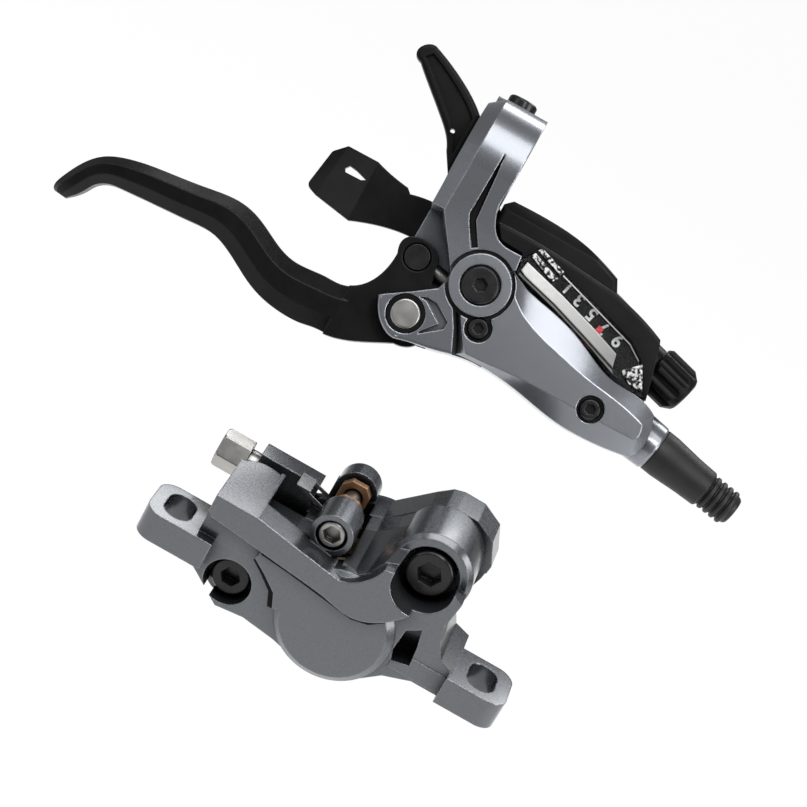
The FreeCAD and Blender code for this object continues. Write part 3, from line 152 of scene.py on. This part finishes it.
def finish(name, look):
    # one recipe for metals, paints, plastics and rubber; the numbers come from the look dictionary
    material, tree, shader = newMaterial(name)
    vector = objectCoords(tree)
    tone = noiseFrom(tree, vector, look.get("toneScale", 120.0), 5.0)
    color = rampFrom(tree, tone, [(0.3, look["dark"]), (0.7, look["light"])])
    bump = tree.nodes.new("ShaderNodeBump")
    if "soft" in look:
        # cast and moulded edges catch the light as if rounded by this radius
        rounded = addNode(tree, "ShaderNodeBevel", Radius=look["soft"] * mm)
        rounded.samples = wearAndHighlight["samples"]
        tree.links.new(rounded.outputs["Normal"], bump.inputs["Normal"])
        if "edge" in look:
            # lighter edges: partly rubbed edges, partly painted highlight
            wornAndLit = edgeWearAndHighlight(tree, vector, rounded.outputs["Normal"])
            color = mixColors(tree, wornAndLit, color, look["edge"])
    if "reach" in look:
        # painted shade: the colour goes dark in grooves and corners
        shadedColor = tuple(paintedShade["tint"] * part for part in look["dark"])
        color = mixColors(tree, shadeOpenness(tree, look["reach"]), shadedColor, color)
    tree.links.new(color, shader.inputs["Base Color"])
    low, high = look.get("roughness", (0.35, 0.45))
    spread = noiseFrom(tree, vector, 400.0, 3.0)
    tree.links.new(rangeFrom(tree, spread, low, high), shader.inputs["Roughness"])
    grain = noiseFrom(tree, vector, look.get("grainScale", 6000.0), 2.0)
    tree.links.new(grain, bump.inputs["Height"])
    bump.inputs["Strength"].default_value = look.get("bump", 0.15)
    bump.inputs["Distance"].default_value = look.get("depth", 0.00004)
    tree.links.new(bump.outputs["Normal"], shader.inputs["Normal"])
    shader.inputs["Metallic"].default_value = look.get("metallic", 0.0)
    shader.inputs["Coat Weight"].default_value = look.get("coat", 0.0)
    shader.inputs["Coat Roughness"].default_value = look.get("coatRoughness", 0.15)
    shader.inputs["Specular IOR Level"].default_value = look.get("specular", 0.5)
    return material


# the looks by the CAD's slot names; soft and reach are in mm; the edge colour is partly rubbed edges and
# partly painted highlight, and reach is how far painted shade darkens grooves and corners
looks = {
    "silver_alloy": {"dark": (0.2, 0.211, 0.232), "light": (0.208, 0.219, 0.24), "metallic": 0.85,
                     "roughness": (0.27, 0.285), "toneScale": 1500.0, "bump": 0.1, "coat": 0.35,
                     "coatRoughness": 0.1, "edge": (0.42, 0.44, 0.47), "soft": 0.45, "reach": 2.6},
    "cover_alloy": {"dark": (0.21, 0.221, 0.242), "light": (0.218, 0.229, 0.25), "metallic": 0.85,
                    "roughness": (0.25, 0.265), "toneScale": 1500.0, "bump": 0.08, "coat": 0.35,
                    "coatRoughness": 0.1, "edge": (0.45, 0.47, 0.5), "soft": 0.4, "reach": 2.6},
    "black_alloy": {"dark": (0.003, 0.003, 0.0035), "light": (0.006, 0.006, 0.0065),
                    "roughness": (0.28, 0.34), "bump": 0.1, "specular": 0.13,
                    "edge": (0.02, 0.02, 0.022), "soft": 0.5, "reach": 2.0},
    "caliper_alloy": {"dark": (0.1, 0.106, 0.116), "light": (0.112, 0.118, 0.128), "metallic": 0.85,
                      "roughness": (0.26, 0.28), "toneScale": 1500.0, "grainScale": 4200.0, "bump": 0.14,
                      "coat": 0.35, "coatRoughness": 0.12, "edge": (0.26, 0.27, 0.29), "soft": 0.5,
                      "reach": 5.0},
    "black_steel": {"dark": (0.006, 0.006, 0.007), "light": (0.012, 0.012, 0.013), "metallic": 0.2,
                    "roughness": (0.22, 0.3), "bump": 0.08, "specular": 0.35,
                    "edge": (0.07, 0.07, 0.075), "soft": 0.2, "reach": 1.5},
    "bright_steel": {"dark": (0.3, 0.295, 0.285), "light": (0.36, 0.355, 0.34), "metallic": 1.0,
                     "roughness": (0.28, 0.36), "bump": 0.12, "soft": 0.2, "reach": 1.5},
    "spring_steel": {"dark": (0.34, 0.34, 0.35), "light": (0.5, 0.5, 0.51), "metallic": 1.0,
                     "roughness": (0.22, 0.34), "bump": 0.08},
    "backing_steel": {"dark": (0.26, 0.14, 0.075), "light": (0.36, 0.2, 0.11), "metallic": 0.8,
                      "roughness": (0.34, 0.46), "edge": (0.5, 0.36, 0.26), "soft": 0.25, "reach": 2.0},
    "friction": {"dark": (0.02, 0.017, 0.015), "light": (0.09, 0.07, 0.05), "metallic": 0.1,
                 "roughness": (0.7, 0.9), "toneScale": 1800.0, "grainScale": 1800.0, "bump": 0.6,
                 "depth": 0.0001},
    "black_plastic": {"dark": (0.003, 0.003, 0.0035), "light": (0.006, 0.006, 0.0065),
                      "roughness": (0.32, 0.4), "grainScale": 3200.0, "bump": 0.16, "specular": 0.1,
                      "edge": (0.012, 0.012, 0.013), "soft": 0.4, "reach": 2.0},
    "dial_black": {"dark": (0.002, 0.002, 0.002), "light": (0.004, 0.004, 0.004),
                   "roughness": (0.6, 0.7), "specular": 0.1, "bump": 0.02},
    "needle_red": {"dark": (0.62, 0.012, 0.03), "light": (0.75, 0.02, 0.04), "roughness": (0.3, 0.4)},
    "rubber": {"dark": (0.006, 0.006, 0.006), "light": (0.012, 0.012, 0.012), "roughness": (0.45, 0.55),
               "grainScale": 2400.0, "bump": 0.25, "specular": 0.3, "soft": 0.25, "reach": 1.5},
    "phenolic": {"dark": (0.32, 0.26, 0.18), "light": (0.42, 0.35, 0.25), "roughness": (0.45, 0.6),
                 "toneScale": 500.0},
    "brass": {"dark": (0.6, 0.42, 0.15), "light": (0.72, 0.53, 0.22), "metallic": 1.0,
              "roughness": (0.2, 0.3)},
}

# the looks of small trim that only the scene has
trimLooks = {
    "whitePrint": {"dark": (0.74, 0.74, 0.73), "light": (0.8, 0.8, 0.8), "roughness": (0.5, 0.6)},
    "greyPlastic": {"dark": (0.1, 0.1, 0.1), "light": (0.17, 0.17, 0.17), "roughness": (0.2, 0.3)},
}


def clearPlastic():
    material, tree, shader = newMaterial("clearPlastic")
    tone = noiseFrom(tree, objectCoords(tree), 300.0)
    color = rampFrom(tree, tone, [(0.3, (0.88, 0.9, 0.9)), (0.7, (0.95, 0.96, 0.97))])
    tree.links.new(color, shader.inputs["Base Color"])
    shader.inputs["Transmission Weight"].default_value = 1.0
    shader.inputs["IOR"].default_value = 1.3
    shader.inputs["Roughness"].default_value = 0.0
    return material


def frostedPlastic():
    # brighter towards the lens's left end, where the light gets in; the fade runs from x 20 to 50 mm
    material, tree, shader = newMaterial("frostedPlastic")
    vector = objectCoords(tree)
    parts = tree.nodes.new("ShaderNodeSeparateXYZ")
    tree.links.new(vector, parts.inputs[0])
    along = rangeFrom(tree, parts.outputs["X"], 0.0, 1.0, 20.0 * mm, 50.0 * mm)
    fade = rampFrom(tree, along, [(0.0, (0.62, 0.62, 0.61)), (0.5, (0.4, 0.4, 0.39)),
                                  (1.0, (0.16, 0.16, 0.16))])
    cloudy = rangeFrom(tree, noiseFrom(tree, vector, 800.0), 0.0, 0.25)
    tree.links.new(mixColors(tree, cloudy, fade, (0.3, 0.3, 0.29)), shader.inputs["Base Color"])
    shader.inputs["Roughness"].default_value = 0.22
    shader.inputs["Coat Weight"].default_value = 0.4
    return material


def prismPlastic():
    # moulded prisms: hard black and white marks, painted reflections and glints in the colour
    material, tree, shader = newMaterial("prismPlastic")
    paintedFlashes = noiseFrom(tree, objectCoords(tree), 1300.0, 2.0, 0.4)
    color = rampFrom(tree, paintedFlashes, [(0.44, (0.012, 0.012, 0.012)), (0.5, (0.3, 0.3, 0.3)),
                                     (0.6, (0.6, 0.6, 0.6))])
    tree.links.new(color, shader.inputs["Base Color"])
    shader.inputs["Roughness"].default_value = 0.12
    return material


materials = {name: finish(name, look) for name, look in looks.items()}
materials["clear_plastic"] = clearPlastic()
trim = {name: finish(name, look) for name, look in trimLooks.items()}
trim["frostedPlastic"] = frostedPlastic()
trim["prismPlastic"] = prismPlastic()
print("materials made:", len(materials) + len(trim))


# the CAD nodes: their finish, and real bevels (in mm) on small turned and pressed pieces, the shifter's
# cover and the hose boot; on the big cast and moulded ones the soft edges come from the finish
edgeRounds = {
    "shifter_cover": 0.5, "hose_boot": 0.25, "caliper_hose_nut": 0.2, "clamp_bolt": 0.15,
    "lever_bleed_screw": 0.15, "cover_screws": 0.1, "pivot_pin": 0.15, "front_pad_backing": 0.15,
    "rear_pad_backing": 0.15, "caliper_body_bolts": 0.15, "pad_axle": 0.12,
}
rounding = {"weld": 0.004 * mm, "flatDegrees": 0.8, "bevelDegrees": 32.0, "sharpDegrees": 38.0, "segments": 2}


def smoothGroup(limit):
    # every face shaded smooth, with the edges sharper than the limit kept sharp
    group = bpy.data.node_groups.new("smoothFaces", "GeometryNodeTree")
    group.interface.new_socket("Geometry", in_out="INPUT", socket_type="NodeSocketGeometry")
    group.interface.new_socket("Geometry", in_out="OUTPUT", socket_type="NodeSocketGeometry")
    start = group.nodes.new("NodeGroupInput")
    end = group.nodes.new("NodeGroupOutput")
    faces = group.nodes.new("GeometryNodeSetShadeSmooth")
    faces.domain = "FACE"
    edges = group.nodes.new("GeometryNodeSetShadeSmooth")
    edges.domain = "EDGE"
    edges.inputs["Shade Smooth"].default_value = False
    angle = group.nodes.new("GeometryNodeInputMeshEdgeAngle")
    compare = group.nodes.new("FunctionNodeCompare")
    compare.operation = "GREATER_THAN"
    compare.inputs["B"].default_value = math.radians(limit)
    group.links.new(start.outputs[0], faces.inputs["Geometry"])
    group.links.new(faces.outputs[0], edges.inputs["Geometry"])
    group.links.new(angle.outputs["Unsigned Angle"], compare.inputs["A"])
    group.links.new(compare.outputs["Result"], edges.inputs["Selection"])
    group.links.new(edges.outputs[0], end.inputs[0])
    return group


smoothFaces = smoothGroup(rounding["sharpDegrees"])


def dressNode(name, node, slotName):
    node.data.materials.clear()
    node.data.materials.append(materials[slotName])
    if name not in edgeRounds:
        return
    weld = node.modifiers.new("weld", "WELD")
    weld.merge_threshold = rounding["weld"]
    flat = node.modifiers.new("joinFlats", "DECIMATE")
    flat.decimate_type = "DISSOLVE"
    flat.angle_limit = math.radians(rounding["flatDegrees"])
    bevel = node.modifiers.new("softEdge", "BEVEL")
    bevel.width = edgeRounds[name] * mm
    bevel.segments = rounding["segments"]
    bevel.limit_method = "ANGLE"
    bevel.angle_limit = math.radians(rounding["bevelDegrees"])
    bevel.use_clamp_overlap = False
    smooth = node.modifiers.new("smoothFaces", "NODES")
    smooth.node_group = smoothFaces
    even = node.modifiers.new("evenNormals", "WEIGHTED_NORMAL")
    even.keep_sharp = True


for subpart in frame["record"]["subparts"]:
    nodeName = subpart["node"]
    dressNode(nodeName, frame["nodes"][nodeName], subpart["material_slot"])
print("nodes dressed:", len(frame["nodes"]))


def placed(name, mesh, matrix, material):
    # all of the scene's own pieces sit on the fixed body
    mesh.transform(matrix)
    mesh.update()
    piece = bpy.data.objects.new(name, mesh)
    bpy.context.scene.collection.objects.link(piece)
    mesh.materials.clear()
    mesh.materials.append(material)
    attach(piece, "bracket")


# numbers on the gear dial, upside down in the photograph's view; lengths in mm, tilt in degrees
dial = {
    "digits": (("1", 30.7, -17.2), ("3", 34.4, -18.4), ("5", 38.6, -19.9), ("7", 42.4, -21.4),
               ("9", 46.9, -22.3)),
    "size": 4.34,
    "bolder": 0.1,
    "tilt": 165.0,
    "surface": 2.2,
    "thick": 0.08,
}


def makeDigits():
    turn = Matrix.Rotation(math.radians(dial["tilt"]), 4, "Z")
    for text, u, v in dial["digits"]:
        curve = bpy.data.curves.new("digitCurve", "FONT")
        curve.body = text
        curve.size = dial["size"] * mm
        curve.align_x = "CENTER"
        curve.align_y = "CENTER"
        curve.extrude = dial["thick"] * mm / 2
        curve.offset = dial["bolder"] * mm
        holder = bpy.data.objects.new("digitHolder", curve)
        bpy.context.scene.collection.objects.link(holder)
        bpy.context.view_layer.update()
        solid = holder.evaluated_get(bpy.context.evaluated_depsgraph_get())
        mesh = bpy.data.meshes.new_from_object(solid)
        bpy.data.objects.remove(holder)
        mesh.name = "digit" + text
        lift = Matrix.Translation(Vector((u, v, dial["surface"] + dial["thick"] / 2)) * mm)
        placed("dialNumber" + text, mesh, leverTurn @ lift @ turn, trim["whitePrint"])


makeDigits()
print("dial numbers made")


def raisedShape(name, outline, low, high, soften, material, place=leverTurn):
    # a flat outline lifted from low to high, its upper edges rounded by soften, all in mm
    shape = bmesh.new()
    rim = [shape.verts.new((u * mm, v * mm, low * mm)) for u, v in outline]
    face = shape.faces.new(rim)
    lifted = bmesh.ops.extrude_face_region(shape, geom=[face])["geom"]
    top = [part for part in lifted if isinstance(part, bmesh.types.BMVert)]
    bmesh.ops.translate(shape, verts=top, vec=(0, 0, (high - low) * mm))
    edges = [edge for edge in shape.edges if all(vert in top for vert in edge.verts)]
    bmesh.ops.bevel(shape, geom=edges, offset=soften * mm, offset_type="OFFSET", segments=3, profile=0.5,
                    affect="EDGES", material=-1)
    bmesh.ops.recalc_face_normals(shape, faces=shape.faces)
    mesh = bpy.data.meshes.new(name)
    shape.to_mesh(mesh)
    shape.free()
    placed(name, mesh, place, material)


# the moulded detail on the display's clear window, all in the lever unit's own plane
windowDetail = {
    "root": 6.9,
    "bar": {"outline": [(19.0, -19.5), (19.4, -17.1), (30, -19.8), (40, -22.8), (47.8, -25.5),
                        (48.6, -28.8), (39.8, -25.8), (29.8, -22.6), (20.6, -20.3)],
            "top": 7.85, "soften": 0.3},
    "prisms": {"outlines": {"prismUpper": [(20.2, -13.5), (21.0, -12.6), (27.9, -14.9), (27.5, -16.0)],
                            "prismLower": [(19.4, -15.4), (20.0, -14.3), (27.4, -17.0), (26.6, -18.3)],
                            "prismCorner": [(50.6, -28.4), (54.3, -24.6), (57.4, -30.3), (53.8, -30.2)]},
               "top": 7.25, "soften": 0.15},
    "skirt": {"outline": [(19.0, -20.0), (20.6, -20.5), (29.8, -22.8), (39.8, -26.0), (48.8, -29.2),
                          (49.4, -30.0), (39.8, -26.5), (29.8, -23.4), (20.0, -20.9), (19.0, -20.6)],
              "top": 7.05, "soften": 0.06},
    "rim": {"upper": [(28.2, -15.6), (39.7, -18.95), (49.6, -21.9), (53.2, -24.3)],
            "lean": 0.1, "width": 0.3, "top": 7.15, "soften": 0.08},
}


def makeWindowDetail():
    root = windowDetail["root"]
    bar, prisms, skirt, rim = (windowDetail[key] for key in ("bar", "prisms", "skirt", "rim"))
    raisedShape("windowBar", bar["outline"], root, bar["top"], bar["soften"], trim["frostedPlastic"])
    for name, outline in prisms["outlines"].items():
        raisedShape(name, outline, root, prisms["top"], prisms["soften"], trim["prismPlastic"])
    raisedShape("windowSkirt", skirt["outline"], root, skirt["top"], skirt["soften"], trim["greyPlastic"])
    lower = [(u - rim["lean"], v - rim["width"]) for u, v in reversed(rim["upper"])]
    raisedShape("windowRim", rim["upper"] + lower, root, rim["top"], rim["soften"], trim["frostedPlastic"])


makeWindowDetail()
print("window detail made")


# painted shadow: thin black strips laid where the arm's groove, the edge of the caliper's raised strip and
# the step down the left of its piston housing are in shade; each stands on a face at that height of its own
# plane, with its root sunk below it
shadowStrip = {"thick": 0.06, "soften": 0.02}
armGrooveShadow = {"outline": [(2.55, 1.1), (2.85, 1.1), (4.2, -14.9), (7.5, -20.1), (6.5, -20.7), (3.25, -16.1),
                       (2.35, -14.2)],
           "face": 10.9, "root": 0.05}
caliperShadowStrips = {
    "raisedStripShadow": {"outline": [(-17.0, 4.2), (-10, 3.5), (0, 2.1), (6, 1.2), (9.6, 2.0), (12.2, 3.9),
                              (12.9, 3.5), (10.0, 1.1), (6.2, 0.2), (0, 1.1), (-10, 2.5), (-17.0, 3.2)],
                  "face": 6.2, "root": 0.1},
    "housingStepShadow": {"outline": [(-17.9, 0.3), (-15.2, -1.7), (-11.9, -4.6), (-10.6, -8.0), (-9.5, -7.9),
                                (-10.4, -4.2), (-14.2, -1.0), (-17.4, 1.1)],
                    "face": 4.6, "root": 0.1},
}


def makeShadowStrip(name, line, place):
    low = line["face"] - line["root"]
    high = line["face"] + shadowStrip["thick"]
    raisedShape(name, line["outline"], low, high, shadowStrip["soften"], materials["black_plastic"], place)


makeShadowStrip("armGrooveShadow", armGrooveShadow, leverTurn)
caliperFace = caliperPlace @ Matrix.Rotation(math.radians(90), 4, "X")
for lineName, line in caliperShadowStrips.items():
    makeShadowStrip(lineName, line, caliperFace)
print("dark lines made")


# the floor is white to the camera, apart from a small share of its own shading that keeps the shadow
stage = {"drop": 0.16, "halfSize": 3.0, "cells": 8, "tone": 0.9, "roughness": 0.8, "whiteShare": 0.96}


def makeStage():
    material, tree, shader = newMaterial("paleFloor")
    shader.inputs["Base Color"].default_value = (stage["tone"], stage["tone"], stage["tone"], 1.0)
    shader.inputs["Roughness"].default_value = stage["roughness"]
    path = tree.nodes.new("ShaderNodeLightPath")
    light = addNode(tree, "ShaderNodeEmission", Color=(1.0, 1.0, 1.0, 1.0))
    mix = tree.nodes.new("ShaderNodeMixShader")
    share = mathNode(tree, "MULTIPLY", path.outputs["Is Camera Ray"], stage["whiteShare"])
    tree.links.new(share, mix.inputs["Fac"])
    tree.links.new(shader.outputs["BSDF"], mix.inputs[1])
    tree.links.new(light.outputs["Emission"], mix.inputs[2])
    tree.links.new(mix.outputs[0], tree.nodes["Material Output"].inputs["Surface"])
    shape = bmesh.new()
    bmesh.ops.create_grid(shape, x_segments=stage["cells"], y_segments=stage["cells"], size=stage["halfSize"])
    mesh = bpy.data.meshes.new("floor")
    shape.to_mesh(mesh)
    shape.free()
    mesh.transform(Matrix.Translation((0, 0, cadLow.z - stage["drop"])))
    mesh.materials.append(material)
    floor = bpy.data.objects.new("floor", mesh)
    bpy.context.scene.collection.objects.link(floor)


# the sky is white where the camera sees it, also through the lens, and dim for light and reflections
sky = {"reflected": 0.26, "plain": 0.25}


def makeWorld():
    world = bpy.data.worlds.new("studio")
    bpy.context.scene.world = world
    world.use_nodes = True
    tree = world.node_tree
    background = tree.nodes["Background"]
    background.inputs["Color"].default_value = (1.0, 1.0, 1.0, 1.0)
    path = tree.nodes.new("ShaderNodeLightPath")
    seen = mathNode(tree, "MAXIMUM", path.outputs["Is Camera Ray"], path.outputs["Is Transmission Ray"])
    glossy = mathNode(tree, "MULTIPLY", path.outputs["Is Glossy Ray"], sky["reflected"])
    strength = mathNode(tree, "MAXIMUM", mathNode(tree, "MAXIMUM", seen, glossy), sky["plain"])
    tree.links.new(strength, background.inputs["Strength"])


# lamps: places and sizes in metres, powers in watts
lampTarget = Vector((0.01, -0.03, -0.04))
lamps = {
    "keyTop": {"place": (-0.1, -0.35, 0.75), "size": (0.9, 0.6), "power": 7.5},
    "frontSoft": {"place": (0.17, -0.5, 0.44), "size": (0.15, 0.15), "power": 1.1},
    "fillLeft": {"place": (-0.7, -0.45, 0.2), "size": (0.35, 0.6), "power": 1.2},
    "fillRight": {"place": (0.75, -0.35, 0.25), "size": (0.35, 0.6), "power": 4.5},
    "backRim": {"place": (0.1, 0.6, 0.45), "size": (0.7, 0.3), "power": 4.0},
}


def makeLamps():
    for name, lamp in lamps.items():
        light = bpy.data.lights.new(name, "AREA")
        light.shape = "RECTANGLE"
        light.size, light.size_y = lamp["size"]
        light.energy = lamp["power"]
        holder = bpy.data.objects.new(name, light)
        place = Vector(lamp["place"])
        aimed = (lampTarget - place).to_track_quat("-Z", "Y").to_matrix().to_4x4()
        holder.matrix_world = Matrix.Translation(place) @ aimed
        bpy.context.scene.collection.objects.link(holder)


# the photograph's view: the lever's plane square on, rolled (degrees); lengths in mm, side in pixels
shot = {"roll": 29.5, "distance": 550.0, "aim": (10.5, -59.8), "pixel": 0.235, "side": 807, "sensor": 36.0}


def makeCamera():
    across = Vector((1, 0, 0))
    up = leverTurn.to_3x3() @ Vector((0, 1, 0))
    toward = leverTurn.to_3x3() @ Vector((0, 0, 1))
    roll = math.radians(shot["roll"])
    right = across * math.cos(roll) + up * math.sin(roll)
    top = up * math.cos(roll) - across * math.sin(roll)
    aim = (across * shot["aim"][0] + up * shot["aim"][1]) * mm
    place = aim + toward * shot["distance"] * mm
    camera = bpy.data.cameras.new("camera")
    camera.sensor_width = shot["sensor"]
    camera.lens = shot["sensor"] * shot["distance"] / (shot["side"] * shot["pixel"])
    camera.clip_start = 0.01
    holder = bpy.data.objects.new("camera", camera)
    turn = Matrix((right, top, toward)).transposed().to_4x4()
    holder.matrix_world = Matrix.Translation(place) @ turn
    bpy.context.scene.collection.objects.link(holder)
    bpy.context.scene.camera = holder


makeStage()
makeWorld()
makeLamps()
makeCamera()
bpy.context.scene.view_settings.view_transform = "Standard"
print("stage, lamps and camera set")
